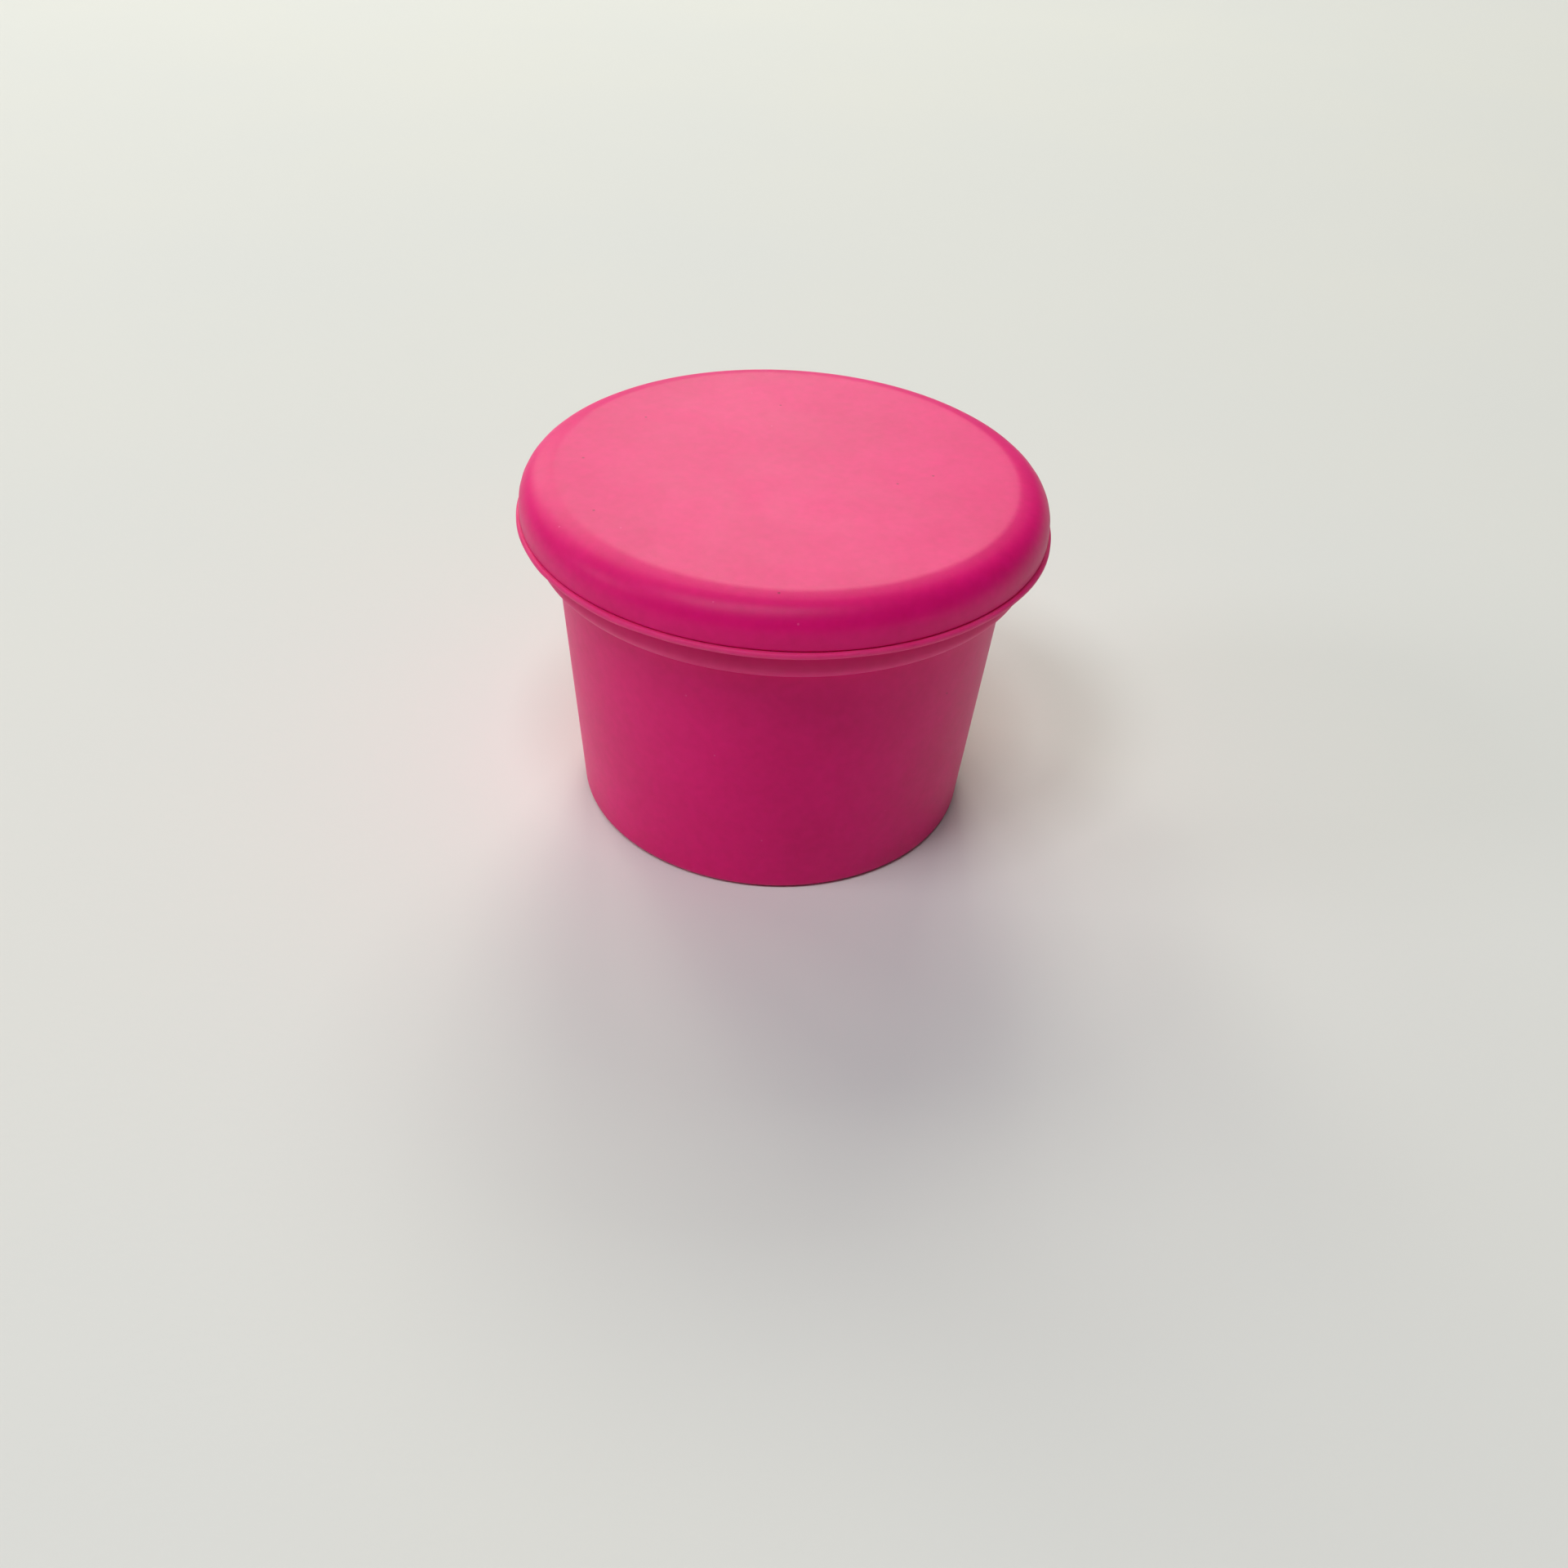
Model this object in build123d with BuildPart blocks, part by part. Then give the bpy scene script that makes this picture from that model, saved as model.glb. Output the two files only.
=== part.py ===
"""Lidded silicone dappen dish: a tapered cup with a rimmed mouth and a mushroom-shaped plug lid.

Millimetres, +Z up. The origin is the centre of the circle that the cup stands on.
The lid is modelled pushed home, with its plug in the cup's mouth.
"""

import math
import os

from build123d import *

# ---- driving dimensions -------------------------------------------------------------------

RIM_RADIUS = 21.0  # outer edge of the cup's thin lip, the widest part of the object
RIM_TOP_Z = 25.56  # the face that the lid closes on
TOTAL_HEIGHT = 29.0

BASE_RADIUS = 16.25
BODY_TAPER = 0.078  # outward slope of the body's wall, radius per height
WALL = 2.4
FLOOR_Z = 2.8  # top of the cup's floor

# ---- cup ----------------------------------------------------------------------------------

RIM_THICKNESS = 0.46
RIM_EDGE_ROUND = 0.2
RIM_ROOT_ROUND = 0.25  # where the lip's underside meets the collar
COLLAR_TOP_RADIUS = 19.45  # the thicker band under the lip, which flares a little downwards
COLLAR_RADIUS = 19.75
COLLAR_HEIGHT = 2.65
COLLAR_EDGE_ROUND = 0.95
COLLAR_ROOT_ROUND = 0.4  # where the collar's underside meets the body
BASE_EDGE_ROUND = 0.6
MOUTH_ROUND = 0.6
WELL_ROUND = 7.0  # the bowl-like turn from the wall to the floor, so nothing is trapped there

FOOT_INNER_RADIUS = 12.6  # the cup stands on a ring, outside this radius
FOOT_RECESS = 0.6
FOOT_RECESS_ROUND = 0.35

# ---- lid ----------------------------------------------------------------------------------

SEAT_GAP = 0.05  # lid's underside above the cup's rim
LID_RADIUS = 20.65
LID_SHOULDER_ROUND = 2.85
LID_EDGE_ROUND = 0.15
LID_CROWN_THICKNESS = 3.0

PLUG_LENGTH = 6.0
PLUG_CLEARANCE = 0.32  # plug's plain wall to the cup's wall
PLUG_WALL = 2.2
PLUG_TIP_ROUND = 0.7
PLUG_ROOT_ROUND = 0.25
RECESS_ROUND = 1.0
BEAD_RADIUS = 0.55
BEAD_CLEARANCE = 0.05  # sealing beads to the cup's wall
BEAD_DEPTHS = (2.1, 4.2)  # below the lid's seat


def outer_radius(z):
    """Radius of the cup's tapered outside at height z."""
    return BASE_RADIUS + BODY_TAPER * z


def bore_radius(z):
    """Radius of the cup's tapered inside at height z."""
    return outer_radius(z) - WALL


def ring_edges(part, radius, height, tolerance=0.01):
    """The circular edges of a turned part that lie at one radius and height."""
    circles = part.edges().filter_by(GeomType.CIRCLE)
    return circles.filter_by(
        lambda edge: abs(edge.radius - radius) < tolerance
        and abs(edge.arc_center.Z - height) < tolerance
    )


# ---- the cup ------------------------------------------------------------------------------

rim_under_z = RIM_TOP_Z - RIM_THICKNESS
collar_under_z = rim_under_z - COLLAR_HEIGHT

with BuildPart() as cup:
    with BuildSketch(Plane.XZ):
        with BuildLine():
            Polyline(
                (0, 0),
                (BASE_RADIUS, 0),
                (outer_radius(collar_under_z), collar_under_z),
                (COLLAR_RADIUS, collar_under_z),
                (COLLAR_TOP_RADIUS, rim_under_z),
                (RIM_RADIUS, rim_under_z),
                (RIM_RADIUS, RIM_TOP_Z),
                (0, RIM_TOP_Z),
                close=True,
            )
        make_face()
    revolve(axis=Axis.Z)

    fillet(ring_edges(cup, BASE_RADIUS, 0), BASE_EDGE_ROUND)
    fillet(ring_edges(cup, outer_radius(collar_under_z), collar_under_z), COLLAR_ROOT_ROUND)
    fillet(ring_edges(cup, COLLAR_RADIUS, collar_under_z), COLLAR_EDGE_ROUND)
    fillet(ring_edges(cup, COLLAR_TOP_RADIUS, rim_under_z), RIM_ROOT_ROUND)
    fillet(ring_edges(cup, RIM_RADIUS, rim_under_z), RIM_EDGE_ROUND)
    fillet(ring_edges(cup, RIM_RADIUS, RIM_TOP_Z), RIM_EDGE_ROUND)

    # the well
    with BuildSketch(Plane.XZ):
        with BuildLine():
            Polyline(
                (0, FLOOR_Z),
                (bore_radius(FLOOR_Z), FLOOR_Z),
                (bore_radius(RIM_TOP_Z), RIM_TOP_Z),
                (0, RIM_TOP_Z),
                close=True,
            )
        make_face()
    revolve(axis=Axis.Z, mode=Mode.SUBTRACT)
    fillet(ring_edges(cup, bore_radius(FLOOR_Z), FLOOR_Z), WELL_ROUND)
    fillet(ring_edges(cup, bore_radius(RIM_TOP_Z), RIM_TOP_Z), MOUTH_ROUND)

    # the shallow recess that leaves a ring to stand on
    with BuildSketch(Plane.XY):
        Circle(FOOT_INNER_RADIUS)
    extrude(amount=FOOT_RECESS, mode=Mode.SUBTRACT)
    fillet(ring_edges(cup, FOOT_INNER_RADIUS, FOOT_RECESS), FOOT_RECESS_ROUND)

cup.part.label = "cup"

# ---- the lid ------------------------------------------------------------------------------

seat_z = RIM_TOP_Z + SEAT_GAP
plug_tip_z = seat_z - PLUG_LENGTH
recess_top_z = TOTAL_HEIGHT - LID_CROWN_THICKNESS


def plug_radius(z):
    """Radius of the plug's plain outside at height z."""
    return bore_radius(z) - PLUG_CLEARANCE


with BuildPart() as lid:
    # crown and plug as one solid of revolution
    with BuildSketch(Plane.XZ):
        with BuildLine():
            Polyline(
                (0, plug_tip_z),
                (plug_radius(plug_tip_z), plug_tip_z),
                (plug_radius(seat_z), seat_z),
                (LID_RADIUS, seat_z),
                (LID_RADIUS, TOTAL_HEIGHT),
                (0, TOTAL_HEIGHT),
                close=True,
            )
        make_face()
    revolve(axis=Axis.Z)
    fillet(ring_edges(lid, LID_RADIUS, TOTAL_HEIGHT), LID_SHOULDER_ROUND)
    fillet(ring_edges(lid, LID_RADIUS, seat_z), LID_EDGE_ROUND)
    fillet(ring_edges(lid, plug_radius(seat_z), seat_z), PLUG_ROOT_ROUND)
    fillet(ring_edges(lid, plug_radius(plug_tip_z), plug_tip_z), PLUG_TIP_ROUND)

    # the hollow inside the plug, which lets it give as it is pushed in
    with BuildSketch(Plane.XZ):
        with BuildLine():
            Polyline(
                (0, plug_tip_z),
                (plug_radius(plug_tip_z) - PLUG_WALL, plug_tip_z),
                (plug_radius(recess_top_z) - PLUG_WALL, recess_top_z),
                (0, recess_top_z),
                close=True,
            )
        make_face()
    revolve(axis=Axis.Z, mode=Mode.SUBTRACT)
    fillet(ring_edges(lid, plug_radius(recess_top_z) - PLUG_WALL, recess_top_z), RECESS_ROUND)
    fillet(ring_edges(lid, plug_radius(plug_tip_z) - PLUG_WALL, plug_tip_z), PLUG_TIP_ROUND)

    # two round beads that seal against the cup's wall
    for depth in BEAD_DEPTHS:
        bead_z = seat_z - depth
        with BuildSketch(Plane.XZ):
            with Locations((bore_radius(bead_z) - BEAD_CLEARANCE - BEAD_RADIUS, bead_z)):
                Circle(BEAD_RADIUS)
        revolve(axis=Axis.Z)

lid.part.label = "lid"

# ---- export -------------------------------------------------------------------------------

os.makedirs("parts", exist_ok=True)
for piece in (cup, lid):
    export_step(piece.part, f"parts/{piece.part.label}.step")
    volume_ml = piece.part.volume / 1000
    print(f"{piece.part.label}: {len(piece.part.solids())} solid, {volume_ml:.2f} ml, valid {piece.part.is_valid}")

print(f"body wall leans {math.degrees(math.atan(BODY_TAPER)):.1f} degrees, mouth {2 * bore_radius(RIM_TOP_Z):.1f} mm across")
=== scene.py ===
"""Lidded silicone dappen dish: the cup and its plug lid, as they look in matte deep-pink silicone.

The two pieces are turned meshes. Their sections are drawn in millimetres, +Z up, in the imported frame,
and are scaled to metres once, when the vertices are made.
"""

import math

import bmesh
import bpy
from mathutils import Matrix, Vector, noise


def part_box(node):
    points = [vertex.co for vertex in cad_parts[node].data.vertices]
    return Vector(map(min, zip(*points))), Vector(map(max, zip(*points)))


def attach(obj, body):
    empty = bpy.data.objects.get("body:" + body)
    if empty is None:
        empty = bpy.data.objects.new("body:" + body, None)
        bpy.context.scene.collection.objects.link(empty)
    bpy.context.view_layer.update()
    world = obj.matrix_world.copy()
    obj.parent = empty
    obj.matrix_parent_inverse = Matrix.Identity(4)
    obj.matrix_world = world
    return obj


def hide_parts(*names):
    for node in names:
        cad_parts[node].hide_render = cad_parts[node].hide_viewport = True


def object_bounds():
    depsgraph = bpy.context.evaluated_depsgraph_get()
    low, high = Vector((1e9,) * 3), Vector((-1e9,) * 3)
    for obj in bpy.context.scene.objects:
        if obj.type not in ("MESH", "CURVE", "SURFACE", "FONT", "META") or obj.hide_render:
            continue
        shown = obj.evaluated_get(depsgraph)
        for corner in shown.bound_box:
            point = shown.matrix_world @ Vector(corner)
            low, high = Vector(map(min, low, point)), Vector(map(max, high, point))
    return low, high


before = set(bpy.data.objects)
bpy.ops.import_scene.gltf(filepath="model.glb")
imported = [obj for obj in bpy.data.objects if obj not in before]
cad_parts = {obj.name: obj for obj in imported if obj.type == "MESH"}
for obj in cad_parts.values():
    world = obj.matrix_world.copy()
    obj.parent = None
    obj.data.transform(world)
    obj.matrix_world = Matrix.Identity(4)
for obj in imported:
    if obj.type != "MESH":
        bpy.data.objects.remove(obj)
cad_low, cad_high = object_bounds()

MM = 0.001

# ---- sizes from the frame, in millimetres ---------------------------------------------------

cup_low, cup_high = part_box("cup")
lid_low, lid_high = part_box("lid")

RIM_RADIUS = round(cup_high.x / MM, 2)
RIM_TOP_Z = round(cup_high.z / MM, 2)
LID_RADIUS = round(lid_high.x / MM, 2)
LID_TOP_Z = round(lid_high.z / MM, 2)
PLUG_TIP_Z = round(lid_low.z / MM, 2)

# ---- sizes inside those boxes, in millimetres -----------------------------------------------

BASE_RADIUS = 16.25
BODY_TAPER = 0.078  # outward slope of the body's wall
WALL = 2.4
FLOOR_Z = 2.8  # of the well

RIM_THICKNESS = 0.46
COLLAR_TOP_RADIUS = 19.45
COLLAR_RADIUS = 19.75  # at its lower edge
COLLAR_HEIGHT = 2.65
FOOT_RADIUS = 12.6  # of the recess inside the ring that the cup stands on
FOOT_RECESS = 0.6

SEAT_GAP = 0.05  # from the cup's rim to the lid
CROWN_THICKNESS = 3.0
CROWN_EDGE_RADIUS = 18.05  # where the lid's flat top begins to slope, before rounding
CROWN_SLOPE = math.radians(14)
PLUG_CLEARANCE = 0.32
PLUG_WALL = 2.2
BEAD_DEPTHS = (4.2, 2.1)  # below the lid's seat
BEAD_HALF_HEIGHT = 0.52
BEAD_CORNER = 0.438  # the bead's corner before rounding, out from the plug's wall
BEAD_ROUND = 0.55

RIM_ROUND = 0.2  # both edges of the lip
RIM_ROOT_ROUND = 0.25
COLLAR_ROUND = 0.95
COLLAR_ROOT_ROUND = 0.4
BASE_ROUND = 0.6
MOUTH_ROUND = 0.6
WELL_ROUND = 7.0
FOOT_RING_ROUND = 0.2
FOOT_RECESS_ROUND = 0.35
LID_SHOULDER_ROUND = 2.35
CROWN_EDGE_ROUND = 2.0
LID_EDGE_ROUND = 0.15
PLUG_ROOT_ROUND = 0.25
PLUG_TIP_ROUND = 0.7
PLUG_HOLLOW_ROUND = 1.0
BEAD_ROOT_ROUND = 0.2

DIMPLE_DEPTH = 0.18  # of the mark that the moulding's gate left
DIMPLE_FLOOR_RADIUS = 1.3
DIMPLE_RADIUS = 1.5
DIMPLE_ROUND = 0.12
NUB_HEIGHT = 0.1
NUB_TIP_RADIUS = 0.4
NUB_TIP_ROUND = 0.06
NUB_RADIUS = 0.5
NUB_ROOT_ROUND = 0.08

TRIM_DEPTH = 0.16  # the most that hand trimming took off the lip
TRIM_LENGTH = 4.0  # of a wave along the trimmed edge
TRIM_SAG = 0.08  # how far the thin lip strays up or down
TRIM_SEED, SAG_SEED = 0.3, 7.1

# ---- mesh density ---------------------------------------------------------------------------

SEGMENTS = 384
FULL_RING_RADIUS = 8.0  # inside it, rings have half the segments, then a quarter, then an eighth
FEWEST_HALVINGS, MOST_HALVINGS = 0, 3
ON_AXIS = 0.001  # a ring with a smaller radius than this is one vertex
RUN_STEP = 0.6
ARC_STEP = math.radians(11)

# ---- the view -------------------------------------------------------------------------------

CAMERA_PLACE = Vector((0.0, -0.11045, 0.08467))
CAMERA_LENS = 36.0  # mm, on a sensor that is as wide
CAMERA_SENSOR = 36.0
CAMERA_NEAREST = 0.005  # m, the nearest thing that it sees
CAMERA_YAW = math.radians(-0.64)
CAMERA_PITCH = math.radians(38.13)  # below the horizon
CAMERA_ROLL = math.radians(3.44)


def seat_z():
    """Height of the lid's underside."""
    return RIM_TOP_Z + SEAT_GAP


def outer_radius(z):
    """Radius of the cup's tapered outside at height z."""
    return BASE_RADIUS + BODY_TAPER * z


def bore_radius(z):
    """Radius of the cup's tapered inside at height z."""
    return outer_radius(z) - WALL


def plug_radius(z):
    """Radius of the plug's plain outside at height z."""
    return bore_radius(z) - PLUG_CLEARANCE


# ---- sections: corners as (radius, height, rounding) ------------------------------------------


def gate_mark(face_z):
    """A shallow dimple with the nub that the moulding's gate left, on a face that looks down."""
    dimple_z = face_z + DIMPLE_DEPTH
    nub_z = dimple_z - NUB_HEIGHT
    return [
        (0, nub_z, 0),
        (NUB_TIP_RADIUS, nub_z, NUB_TIP_ROUND),
        (NUB_RADIUS, dimple_z, NUB_ROOT_ROUND),
        (DIMPLE_FLOOR_RADIUS, dimple_z, DIMPLE_ROUND),
        (DIMPLE_RADIUS, face_z, DIMPLE_ROUND),
    ]


def cup_section():
    """From the foot's centre, round the outside and over the lip, to the well's centre."""
    rim_under_z = RIM_TOP_Z - RIM_THICKNESS
    collar_under_z = rim_under_z - COLLAR_HEIGHT
    return gate_mark(FOOT_RECESS) + [
        (FOOT_RADIUS, FOOT_RECESS, FOOT_RECESS_ROUND),
        (FOOT_RADIUS, 0, FOOT_RING_ROUND),
        (BASE_RADIUS, 0, BASE_ROUND),
        (outer_radius(collar_under_z), collar_under_z, COLLAR_ROOT_ROUND),
        (COLLAR_RADIUS, collar_under_z, COLLAR_ROUND),
        (COLLAR_TOP_RADIUS, rim_under_z, RIM_ROOT_ROUND),
        (RIM_RADIUS, rim_under_z, RIM_ROUND),
        (RIM_RADIUS, RIM_TOP_Z, RIM_ROUND),
        (bore_radius(RIM_TOP_Z), RIM_TOP_Z, MOUTH_ROUND),
        (bore_radius(FLOOR_Z), FLOOR_Z, WELL_ROUND),
        (0, FLOOR_Z, 0),
    ]


def bead(z):
    """One sealing bead round the plug, from below to above."""
    below, above = z - BEAD_HALF_HEIGHT, z + BEAD_HALF_HEIGHT
    return [
        (plug_radius(below), below, BEAD_ROOT_ROUND),
        (plug_radius(z) + BEAD_CORNER, z, BEAD_ROUND),
        (plug_radius(above), above, BEAD_ROOT_ROUND),
    ]


def lid_section():
    """From the hollow's centre, down and round the plug, and over the crown to its centre."""
    hollow_z = LID_TOP_Z - CROWN_THICKNESS
    corners = gate_mark(hollow_z) + [
        (plug_radius(hollow_z) - PLUG_WALL, hollow_z, PLUG_HOLLOW_ROUND),
        (plug_radius(PLUG_TIP_Z) - PLUG_WALL, PLUG_TIP_Z, PLUG_TIP_ROUND),
        (plug_radius(PLUG_TIP_Z), PLUG_TIP_Z, PLUG_TIP_ROUND),
    ]
    for depth in BEAD_DEPTHS:
        corners += bead(seat_z() - depth)
    slope_drop = (LID_RADIUS - CROWN_EDGE_RADIUS) * math.tan(CROWN_SLOPE)
    return corners + [
        (plug_radius(seat_z()), seat_z(), PLUG_ROOT_ROUND),
        (LID_RADIUS, seat_z(), LID_EDGE_ROUND),
        (LID_RADIUS, LID_TOP_Z - slope_drop, LID_SHOULDER_ROUND),
        (CROWN_EDGE_RADIUS, LID_TOP_Z, CROWN_EDGE_ROUND),
        (0, LID_TOP_Z, 0),
    ]


def divided(start, end):
    """Points after start, up to end, no further apart than the run step."""
    steps = max(1, math.ceil((end - start).length / RUN_STEP))
    return [start.lerp(end, step / steps) for step in range(1, steps + 1)]


def rounded(corners):
    """Points along a section, with an arc at each corner and divided runs between them."""
    places = [Vector(corner[:2]) for corner in corners]
    radii = [corner[2] for corner in corners]
    points = [places[0]]
    for before, here, after, radius in zip(places, places[1:], places[2:], radii[1:]):
        back = (before - here).normalized()
        ahead = (after - here).normalized()
        turn = math.pi - back.angle(ahead)
        reach = radius * math.tan(turn / 2)
        start, end = here + back * reach, here + ahead * reach
        centre = here + (back + ahead).normalized() * (radius / math.cos(turn / 2))
        steps = max(math.ceil(turn / ARC_STEP), math.ceil(radius * turn / RUN_STEP))
        points += divided(points[-1], start)
        for step in range(1, steps + 1):
            outward = (start - centre).slerp(end - centre, step / steps).normalized()
            points.append(centre + outward * radius)
    return points + divided(points[-1], places[-1])


# ---- turning a section into a mesh --------------------------------------------------------------


def ring_size(radius):
    """How many vertices a ring has. Small rings have fewer, so that faces keep an even size."""
    halvings = math.ceil(math.log2(FULL_RING_RADIUS / radius))
    return SEGMENTS >> min(MOST_HALVINGS, max(FEWEST_HALVINGS, halvings))


def ring(made, radius, height, push):
    """A ring of new vertices, or the one vertex where the section meets the axis."""
    if radius < ON_AXIS:
        return [made.verts.new(Vector((0, 0, height)) * MM)]
    size = ring_size(radius)
    angles = [2 * math.pi * step / size for step in range(size)]
    return [made.verts.new(push(radius, height, angle) * MM) for angle in angles]


def join_equal(made, low, high):
    """Quads between two rings with the same number of vertices."""
    for here in range(len(low)):
        there = (here + 1) % len(low)
        made.faces.new((low[here], low[there], high[there], high[here]))


def join_half(made, many, few, flip):
    """Triangles between a ring and one with half as many vertices."""
    for here in range(len(few)):
        there = (here + 1) % len(few)
        left, middle, right = many[2 * here], many[2 * here + 1], many[2 * there]
        fans = ((left, middle, few[here]), (middle, few[there], few[here]), (middle, right, few[there]))
        for fan in fans:
            made.faces.new(reversed(fan) if flip else fan)


def join_pole(made, many, pole, flip):
    """A fan of triangles between a ring and the vertex on the axis."""
    for here in range(len(many)):
        fan = (many[here], many[(here + 1) % len(many)], pole)
        made.faces.new(reversed(fan) if flip else fan)


def join(made, first, second):
    """The faces between two neighbouring rings of a section."""
    if len(first) == len(second):
        join_equal(made, first, second)
        return
    many, few = (first, second) if len(first) > len(second) else (second, first)
    flip = many is second
    if len(few) == 1:
        join_pole(made, many, few[0], flip)
    else:
        join_half(made, many, few, flip)


def turned_piece(name, corners, push):
    """A closed, smooth piece: its section turned round Z, each point placed by push."""
    made = bmesh.new()
    rings = [ring(made, point.x, point.y, push) for point in rounded(corners)]
    for first, second in zip(rings, rings[1:]):
        join(made, first, second)
    bmesh.ops.recalc_face_normals(made, faces=made.faces)
    mesh = bpy.data.meshes.new(name)
    made.to_mesh(mesh)
    made.free()
    mesh.shade_smooth()
    piece = bpy.data.objects.new(name, mesh)
    bpy.context.scene.collection.objects.link(piece)
    return piece


# ---- what hand and mould did to the two pieces ----------------------------------------------------


def wave(angle, length, seed):
    """Smooth unevenness round the rim, from -1 to 1, with waves of about that length."""
    scale = RIM_RADIUS / length
    return noise.noise(Vector((math.cos(angle) * scale, math.sin(angle) * scale, seed)))


def round_point(radius, height, angle):
    """A point of a true turned surface."""
    return Vector((radius * math.cos(angle), radius * math.sin(angle), height))


def cup_point(radius, height, angle):
    """A point of the cup. Its thin lip was trimmed by hand, so its edge is a little uneven."""
    past_collar = max(0.0, radius - COLLAR_RADIUS) / (RIM_RADIUS - COLLAR_RADIUS)
    trim = TRIM_DEPTH * (0.5 + 0.5 * wave(angle, TRIM_LENGTH, TRIM_SEED))
    low_side = (RIM_TOP_Z - height) / RIM_THICKNESS
    sag = TRIM_SAG * wave(angle, 2 * TRIM_LENGTH, SAG_SEED) * low_side
    return round_point(radius - trim * past_collar, height + sag * past_collar, angle)


# ---- materials: helpers -------------------------------------------------------------------------------

NOISE_LOW, NOISE_HIGH = 0.3, 0.7  # nearly all of a noise's values lie between these
MIX_FIRST, MIX_SECOND, MIX_RESULT = 6, 7, 2  # the colour sockets of a Mix node
SPECK_SPREAD = 97.0  # mm between the places in the pattern that two seeds use
SPECK_CORE = 0.6  # of a speck's radius, inside its soft edge


def new_material(name):
    """An empty node material: its tree, its Principled shader and its texture coordinates in mm."""
    material = bpy.data.materials.new(name)
    material.use_nodes = True
    tree = material.node_tree
    shader = tree.nodes["Principled BSDF"]
    coordinates = tree.nodes.new("ShaderNodeTexCoord")
    millimetres = tree.nodes.new("ShaderNodeVectorMath")
    millimetres.operation = "SCALE"
    millimetres.inputs["Scale"].default_value = 1 / MM
    tree.links.new(coordinates.outputs["Object"], millimetres.inputs["Vector"])
    return material, tree, shader, millimetres.outputs["Vector"]


def add_noise(tree, place, per_mm, detail, seed=0.0):
    """Noise of so many waves in a millimetre, from 0 to 1."""
    node = tree.nodes.new("ShaderNodeTexNoise")
    node.noise_dimensions = "4D"
    node.inputs["W"].default_value = seed
    node.inputs["Scale"].default_value = per_mm
    node.inputs["Detail"].default_value = detail
    tree.links.new(place, node.inputs["Vector"])
    return node.outputs["Fac"]


def add_range(tree, value, low, high, out_low, out_high):
    """Maps low..high of a value to out_low..out_high, and holds the ends beyond that."""
    node = tree.nodes.new("ShaderNodeMapRange")
    for socket, number in zip(("From Min", "From Max", "To Min", "To Max"), (low, high, out_low, out_high)):
        node.inputs[socket].default_value = number
    tree.links.new(value, node.inputs["Value"])
    return node.outputs["Result"]


def add_math(tree, operation, first, second):
    """The result of one operation on two values; either may be a number."""
    node = tree.nodes.new("ShaderNodeMath")
    node.operation = operation
    for socket, value in zip(node.inputs, (first, second)):
        if isinstance(value, (int, float)):
            socket.default_value = value
        else:
            tree.links.new(value, socket)
    return node.outputs["Value"]


def add_mix(tree, amount, first, second):
    """A colour between two others; each may be a colour or a socket."""
    node = tree.nodes.new("ShaderNodeMix")
    node.data_type = "RGBA"
    tree.links.new(amount, node.inputs["Factor"])
    for socket, colour in zip((node.inputs[MIX_FIRST], node.inputs[MIX_SECOND]), (first, second)):
        if isinstance(colour, tuple):
            socket.default_value = colour
        else:
            tree.links.new(colour, socket)
    return node.outputs[MIX_RESULT]


def add_noise_range(tree, value, out_low, out_high):
    """Maps a noise to out_low..out_high."""
    return add_range(tree, value, NOISE_LOW, NOISE_HIGH, out_low, out_high)


def add_specks(tree, place, per_mm, radius, seed):
    """1 on sparse round specks of that radius in mm, and 0 between them."""
    shift = tree.nodes.new("ShaderNodeVectorMath")
    shift.operation = "ADD"
    shift.inputs[1].default_value = (seed * SPECK_SPREAD, 0.0, 0.0)
    tree.links.new(place, shift.inputs[0])
    node = tree.nodes.new("ShaderNodeTexVoronoi")
    node.inputs["Scale"].default_value = per_mm
    tree.links.new(shift.outputs["Vector"], node.inputs["Vector"])
    edge = radius * per_mm
    return add_range(tree, node.outputs["Distance"], edge * SPECK_CORE, edge, 1.0, 0.0)


def add_profile(tree, value, stops):
    """A value that follows straight lines between stops, each given as (input, output)."""
    first, last = stops[0][0], stops[-1][0]
    ramp = tree.nodes.new("ShaderNodeValToRGB")
    elements = ramp.color_ramp.elements
    while len(elements) < len(stops):
        elements.new(0.5)
    for element, (reading, _) in zip(elements, stops):
        element.position = (reading - first) / (last - first)
    for element, (_, amount) in zip(elements, stops):
        element.color = (amount, amount, amount, 1.0)
    tree.links.new(add_range(tree, value, first, last, 0.0, 1.0), ramp.inputs["Fac"])
    return ramp.outputs["Color"]


def add_radius(tree, place):
    """Distance in mm from the upright axis."""
    flat = tree.nodes.new("ShaderNodeVectorMath")
    flat.operation = "MULTIPLY"
    flat.inputs[1].default_value = (1.0, 1.0, 0.0)
    tree.links.new(place, flat.inputs[0])
    length = tree.nodes.new("ShaderNodeVectorMath")
    length.operation = "LENGTH"
    tree.links.new(flat.outputs["Vector"], length.inputs[0])
    return length.outputs["Value"]


def add_bump(tree, height, depth, normal=None):
    """Bump whose height, from 0 to 1, stands for a depth in mm."""
    node = tree.nodes.new("ShaderNodeBump")
    node.inputs["Strength"].default_value = 1.0
    node.inputs["Distance"].default_value = depth * MM
    tree.links.new(height, node.inputs["Height"])
    if normal is not None:
        tree.links.new(normal, node.inputs["Normal"])
    return node.outputs["Normal"]


# ---- materials: the silicone and the paper --------------------------------------------------------------

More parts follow.
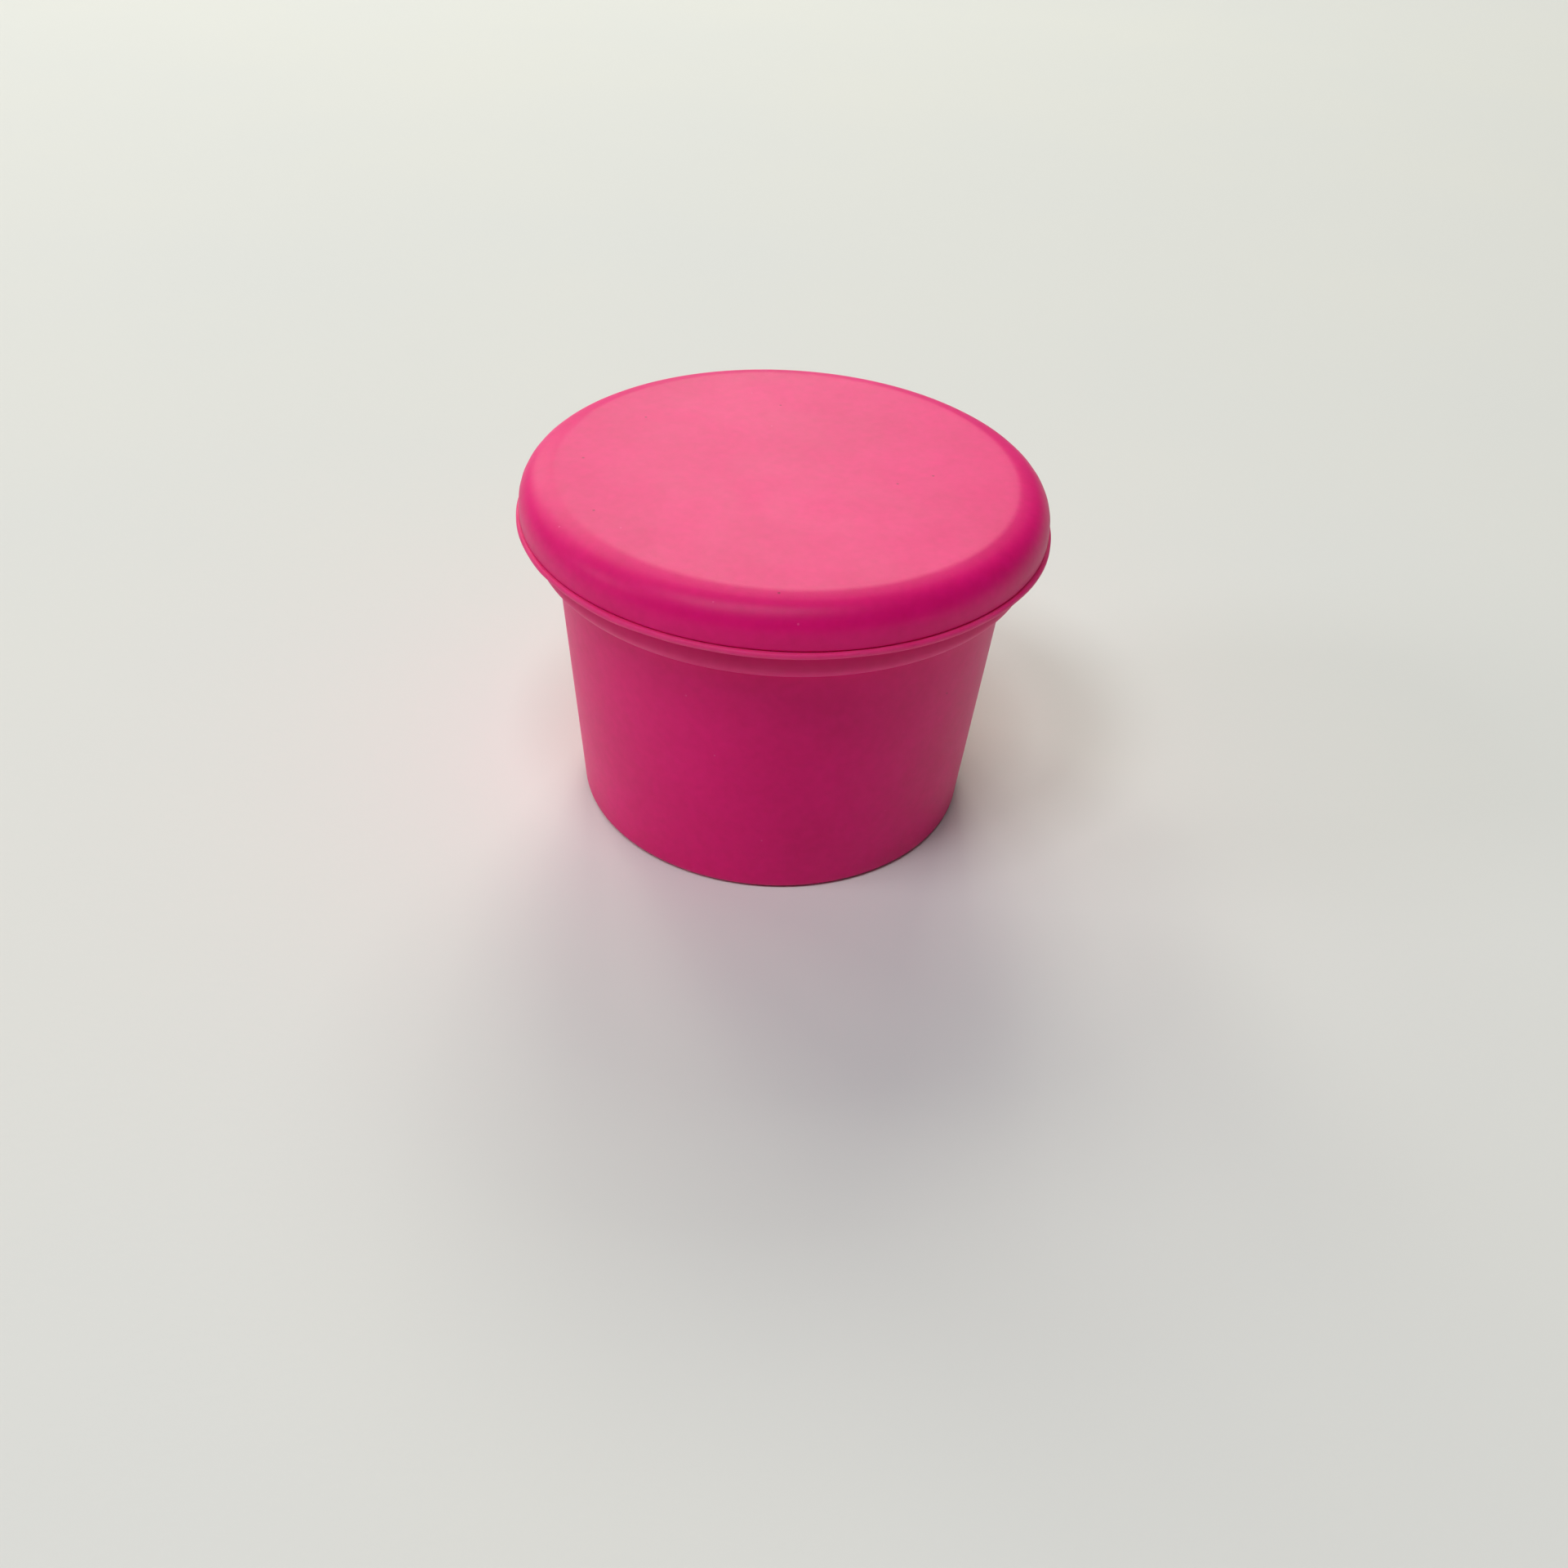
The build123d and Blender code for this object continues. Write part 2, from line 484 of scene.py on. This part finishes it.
SILICONE_DEEP = (0.750, 0.001, 0.162, 1.0)
SILICONE_PALE = (0.860, 0.003, 0.199, 1.0)
# painted highlight: the pale colour painted on the lit edges of lip and collar
SILICONE_PAINTED_HIGHLIGHT = (0.900, 0.120, 0.300, 1.0)
# painted shade: the dark colour painted in the corner under the lip
SILICONE_PAINTED_SHADE = (0.380, 0.001, 0.070, 1.0)
DUST_DARK = (0.440, 0.001, 0.080, 1.0)
LINT_PALE = (0.850, 0.060, 0.260, 1.0)

SILICONE_ROUGHNESS = (0.415, 0.445)
SILICONE_IOR = 1.31
SILICONE_GLOW = 0.25  # how much of the colour comes from under the surface
GLOW_RADII = (1.0, 0.25, 0.4)  # mm that red, green and blue light travels in it
MOTTLE_RANGE = (0.2, 0.8)
BLOTCH_AMOUNT = 0.15
PAINTED_HIGHLIGHT_ROUGHNESS = 0.2  # added where the painted highlight is full
PAINTED_HIGHLIGHT_PATCHY = 0.6  # the painted highlight's amount where it is thinnest
OUTSIDE_RADII = (18.2, 18.8)  # mm, between the inside of the mouth and the collar

LIP_PAINTED_HIGHLIGHT = (  # height in mm, and how much painted highlight pales the outside's edges there
    (RIM_TOP_Z - 3.3, 0.0),
    (RIM_TOP_Z - 2.9, 0.45),
    (RIM_TOP_Z - 2.1, 0.25),
    (RIM_TOP_Z - 1.5, 0.0),
    (RIM_TOP_Z - 0.6, 0.0),
    (RIM_TOP_Z - 0.4, 0.55),
    (RIM_TOP_Z - 0.1, 0.35),
)
LIP_PAINTED_SHADE = (  # height in mm, and how dark the painted shade makes the corner under the lip there
    (RIM_TOP_Z - 2.6, 0.0),
    (RIM_TOP_Z - 1.6, 0.18),
    (RIM_TOP_Z - 0.55, 0.22),
    (RIM_TOP_Z - 0.45, 0.0),
)


def add_lip_painted_light(tree, place, colour, seed):
    """Paints highlight on the edges of lip and collar, and paints shade in the corner between. Gives the
    colour and the painted highlight's amount.
    """
    outside = add_range(tree, add_radius(tree, place), *OUTSIDE_RADII, 0.0, 1.0)
    split = tree.nodes.new("ShaderNodeSeparateXYZ")
    tree.links.new(place, split.inputs["Vector"])

    # painted highlight on the lit edges of lip and collar, made patchy by a noise
    cloud = add_noise(tree, place, per_mm=0.5, detail=3.0, seed=seed)
    painted_highlight = add_math(tree, "MULTIPLY", add_profile(tree, split.outputs["Z"], LIP_PAINTED_HIGHLIGHT), outside)
    painted_highlight = add_math(tree, "MULTIPLY", painted_highlight, add_noise_range(tree, cloud, PAINTED_HIGHLIGHT_PATCHY, 1.0))
    colour = add_mix(tree, painted_highlight, colour, SILICONE_PAINTED_HIGHLIGHT)

    # painted shade in the corner under the lip
    painted_shade = add_math(tree, "MULTIPLY", add_profile(tree, split.outputs["Z"], LIP_PAINTED_SHADE), outside)
    return add_mix(tree, painted_shade, colour, SILICONE_PAINTED_SHADE), painted_highlight


def silicone(name, seed, has_lip):
    """Matte moulded silicone: mottled pink, a fine blasted grain and a little dust."""
    material, tree, shader, place = new_material(name)

    mottle = add_noise(tree, place, per_mm=0.16, detail=4.0, seed=seed)
    blotch = add_noise(tree, place, per_mm=1.4, detail=3.0, seed=seed + 6.0)
    mottle = add_math(tree, "ADD", mottle, add_noise_range(tree, blotch, -BLOTCH_AMOUNT, BLOTCH_AMOUNT))
    colour = add_mix(tree, add_range(tree, mottle, *MOTTLE_RANGE, 0.0, 1.0), SILICONE_DEEP, SILICONE_PALE)

    haze = add_noise(tree, place, per_mm=0.35, detail=5.0, seed=seed + 2.0)
    roughness = add_noise_range(tree, haze, *SILICONE_ROUGHNESS)
    # on the cup: painted highlight on the lip's and collar's edges, and painted shade under the lip
    if has_lip:
        colour, painted_highlight = add_lip_painted_light(tree, place, colour, seed + 1.0)
        roughness = add_math(tree, "ADD", roughness, add_math(tree, "MULTIPLY", painted_highlight, PAINTED_HIGHLIGHT_ROUGHNESS))
    tree.links.new(roughness, shader.inputs["Roughness"])

    dark_specks = add_specks(tree, place, per_mm=0.3, radius=0.12, seed=seed)
    pale_specks = add_specks(tree, place, per_mm=0.3, radius=0.10, seed=seed + 5.0)
    colour = add_mix(tree, dark_specks, colour, DUST_DARK)
    colour = add_mix(tree, pale_specks, colour, LINT_PALE)
    tree.links.new(colour, shader.inputs["Base Color"])

    softness = add_noise(tree, place, per_mm=0.22, detail=2.0, seed=seed + 3.0)
    grain = add_noise(tree, place, per_mm=9.0, detail=2.0, seed=seed + 4.0)
    normal = add_bump(tree, softness, depth=0.005)
    normal = add_bump(tree, grain, depth=0.006, normal=normal)
    tree.links.new(normal, shader.inputs["Normal"])

    shader.inputs["IOR"].default_value = SILICONE_IOR
    shader.inputs["Subsurface Weight"].default_value = SILICONE_GLOW
    shader.inputs["Subsurface Radius"].default_value = GLOW_RADII
    shader.inputs["Subsurface Scale"].default_value = MM
    return material


BACKGROUND_COLOUR = (0.72, 0.725, 0.69, 1.0)
FADE_START, FADE_END = 300, 620  # mm from the dish, where the paper turns into the background
PAPER_COOL = (0.732, 0.737, 0.725, 1.0)
PAPER_WARM = (0.745, 0.745, 0.722, 1.0)
PAPER_ROUGHNESS = (0.85, 0.95)
PAPER_GLOSS = 0.2


def paper(name):
    """Plain white paper: soft mottling and a faint tooth. Far from the dish it fades into the background."""
    material, tree, shader, place = new_material(name)
    mottle = add_noise(tree, place, per_mm=0.02, detail=3.0)
    colour = add_mix(tree, add_noise_range(tree, mottle, 0.0, 1.0), PAPER_COOL, PAPER_WARM)
    tree.links.new(colour, shader.inputs["Base Color"])
    tooth = add_noise(tree, place, per_mm=1.5, detail=3.0)
    tree.links.new(add_noise_range(tree, tooth, *PAPER_ROUGHNESS), shader.inputs["Roughness"])
    tree.links.new(add_bump(tree, tooth, depth=0.01), shader.inputs["Normal"])
    shader.inputs["Specular IOR Level"].default_value = PAPER_GLOSS

    far = tree.nodes.new("ShaderNodeEmission")
    far.inputs["Color"].default_value = BACKGROUND_COLOUR
    fade = tree.nodes.new("ShaderNodeMixShader")
    distance = add_radius(tree, place)
    tree.links.new(add_range(tree, distance, FADE_START, FADE_END, 0.0, 1.0), fade.inputs["Fac"])
    tree.links.new(shader.outputs["BSDF"], fade.inputs[1])
    tree.links.new(far.outputs["Emission"], fade.inputs[2])
    tree.links.new(fade.outputs["Shader"], tree.nodes["Material Output"].inputs["Surface"])
    return material


# ---- camera, floor and light --------------------------------------------------------------------------

FLOOR_HALF = 4.0  # m, from the dish to the floor's edges


def add_camera():
    """The camera at the viewing angle, with a phone's wide lens."""
    data = bpy.data.cameras.new("camera")
    data.lens = CAMERA_LENS
    data.sensor_width = CAMERA_SENSOR
    data.clip_start = CAMERA_NEAREST
    camera = bpy.data.objects.new("camera", data)
    bpy.context.scene.collection.objects.link(camera)
    turn = Matrix.Rotation(CAMERA_YAW, 4, "Z")
    tilt = Matrix.Rotation(math.pi / 2 - CAMERA_PITCH, 4, "X")
    roll = Matrix.Rotation(CAMERA_ROLL, 4, "Z")
    camera.matrix_world = Matrix.Translation(CAMERA_PLACE) @ turn @ tilt @ roll
    bpy.context.scene.camera = camera


def add_floor():
    """A wide plain floor at the height that the cup stands on."""
    half = FLOOR_HALF
    mesh = bpy.data.meshes.new("floor")
    corners = [(-half, -half, 0), (half, -half, 0), (half, half, 0), (-half, half, 0)]
    mesh.from_pydata(corners, [], [(0, 1, 2, 3)])
    mesh.materials.append(paper("white_paper"))
    floor = bpy.data.objects.new("floor", mesh)
    bpy.context.scene.collection.objects.link(floor)
    floor.location.z = cad_low.z


PANEL_DISTANCE = 1.4  # m
PANEL_SIDE = 0.35  # m
WINDOW_COLOUR = (1.0, 1.01, 0.87)  # a little warm
CEILING_COLOUR = (0.99, 0.985, 1.03)  # a little cool
PANELS = (  # name, azimuth from +X, elevation, brightness given to a white floor, colour
    ("panel_back_right", 80, 38, 0.088, WINDOW_COLOUR),
    ("panel_back", 94, 38, 0.088, WINDOW_COLOUR),
    ("panel_back_high", 94, 52, 0.074, WINDOW_COLOUR),
    ("panel_back_low", 95, 26, 0.027, WINDOW_COLOUR),
    ("panel_left_back", 129, 47, 0.066, WINDOW_COLOUR),
    ("panel_left_back_low", 115, 29, 0.052, WINDOW_COLOUR),
    ("panel_left_back_lower", 122, 18, 0.020, WINDOW_COLOUR),
    ("panel_left", 145, 28, 0.028, WINDOW_COLOUR),
    ("panel_left_low", 190, 25, 0.060, CEILING_COLOUR),
    ("panel_front_left", 225, 60, 0.216, CEILING_COLOUR),
    ("panel_overhead", 270, 72, 0.190, CEILING_COLOUR),
)
ROOM_BRIGHTNESS = 0.086
ROOM_COLOUR = (0.95, 0.97, 1.0, 1.0)


def add_panel(name, azimuth, elevation, brightness, colour):
    """A square light, far enough away to light the dish evenly."""
    turn = Matrix.Rotation(math.radians(azimuth), 3, "Z")
    rise = Matrix.Rotation(math.radians(-elevation), 3, "Y")
    toward = turn @ rise @ Vector((1, 0, 0))
    data = bpy.data.lights.new(name, "AREA")
    data.shape = "SQUARE"
    data.size = PANEL_SIDE
    data.color = colour
    floor_irradiance = brightness * math.pi
    data.energy = floor_irradiance * math.pi * PANEL_DISTANCE**2 / toward.z
    panel = bpy.data.objects.new(name, data)
    bpy.context.scene.collection.objects.link(panel)
    panel.location = toward * PANEL_DISTANCE
    panel.rotation_euler = toward.to_track_quat("Z", "Y").to_euler()
    panel.visible_camera = False


def add_world():
    """Even light from all round, and a pale background where the camera sees past the floor."""
    world = bpy.data.worlds.new("studio")
    bpy.context.scene.world = world
    world.use_nodes = True
    tree = world.node_tree
    light = tree.nodes["Background"]
    light.inputs["Color"].default_value = ROOM_COLOUR
    light.inputs["Strength"].default_value = ROOM_BRIGHTNESS
    seen = tree.nodes.new("ShaderNodeBackground")
    seen.inputs["Color"].default_value = BACKGROUND_COLOUR
    path = tree.nodes.new("ShaderNodeLightPath")
    mix = tree.nodes.new("ShaderNodeMixShader")
    tree.links.new(path.outputs["Is Camera Ray"], mix.inputs["Fac"])
    tree.links.new(light.outputs["Background"], mix.inputs[1])
    tree.links.new(seen.outputs["Background"], mix.inputs[2])
    tree.links.new(mix.outputs["Shader"], tree.nodes["World Output"].inputs["Surface"])


def add_light():
    """Soft panels, most of them behind and to the left, in an evenly lit room."""
    add_world()
    for panel in PANELS:
        add_panel(*panel)
    bpy.context.scene.view_settings.view_transform = "Standard"


# ---- the scene ------------------------------------------------------------------------------------------

add_camera()
add_floor()
add_light()

cup = turned_piece("cup_moulding", cup_section(), cup_point)
cup.data.materials.append(silicone("pink_silicone_cup", 1.0, has_lip=True))
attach(cup, "cup")
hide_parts("cup")

lid = turned_piece("lid_moulding", lid_section(), round_point)
lid.data.materials.append(silicone("pink_silicone_lid", 11.0, has_lip=False))
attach(lid, "lid")
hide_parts("lid")
